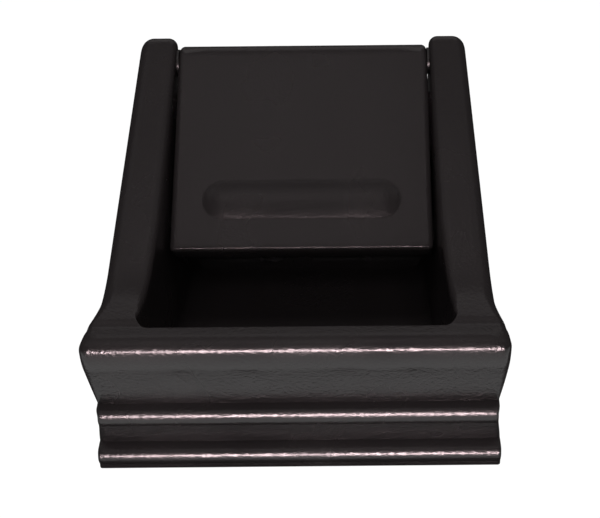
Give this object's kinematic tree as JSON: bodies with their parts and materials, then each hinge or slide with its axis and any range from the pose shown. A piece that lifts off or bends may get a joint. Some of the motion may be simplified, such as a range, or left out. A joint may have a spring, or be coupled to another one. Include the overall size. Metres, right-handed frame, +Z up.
{
  "type": "mounting block",
  "caption": "Small black moulded block with a crown-moulded front, a deep open tray between two raked arms, and a slanted lift-up flap with a finger ridge, hinged at the arm tips.",
  "frame": {"origin": "on the supporting surface, under the middle of the overall box", "axes": "+X to the right along the hinge, -Y towards the moulded front, +Z up"},
  "size_m": [0.15, 0.135, 0.1274],
  "materials": {
    "black_abs": "fine-grained satin black ABS",
    "bright_steel": "plain bright",
    "nylon": "smooth black nylon",
    "rubber": "matt",
    "brass": "turned and knurled"
  },
  "bodies": {
    "tray_body": {"housing": "black_abs", "hinge_rod": "bright_steel", "hinge_bush_left": "nylon", "hinge_bush_right": "nylon", "flap_bumper_left": "rubber", "flap_bumper_right": "rubber", "base_plate": "black_abs", "base_screws": "bright_steel", "mount_inserts": "brass", "foot_front_left": "rubber", "foot_front_right": "rubber", "foot_rear_left": "rubber", "foot_rear_right": "rubber"},
    "flap": {"flap_shell": "black_abs", "flap_backing": "black_abs", "flap_screws": "bright_steel"}
  },
  "joints": [
    {"name": "flap_hinge", "type": "hinge", "parent": "tray_body", "child": "flap", "pos_m": [0, 0.0605, 0.1172], "axis": [-1, 0, 0], "range_deg": [0, 110]}
  ]
}
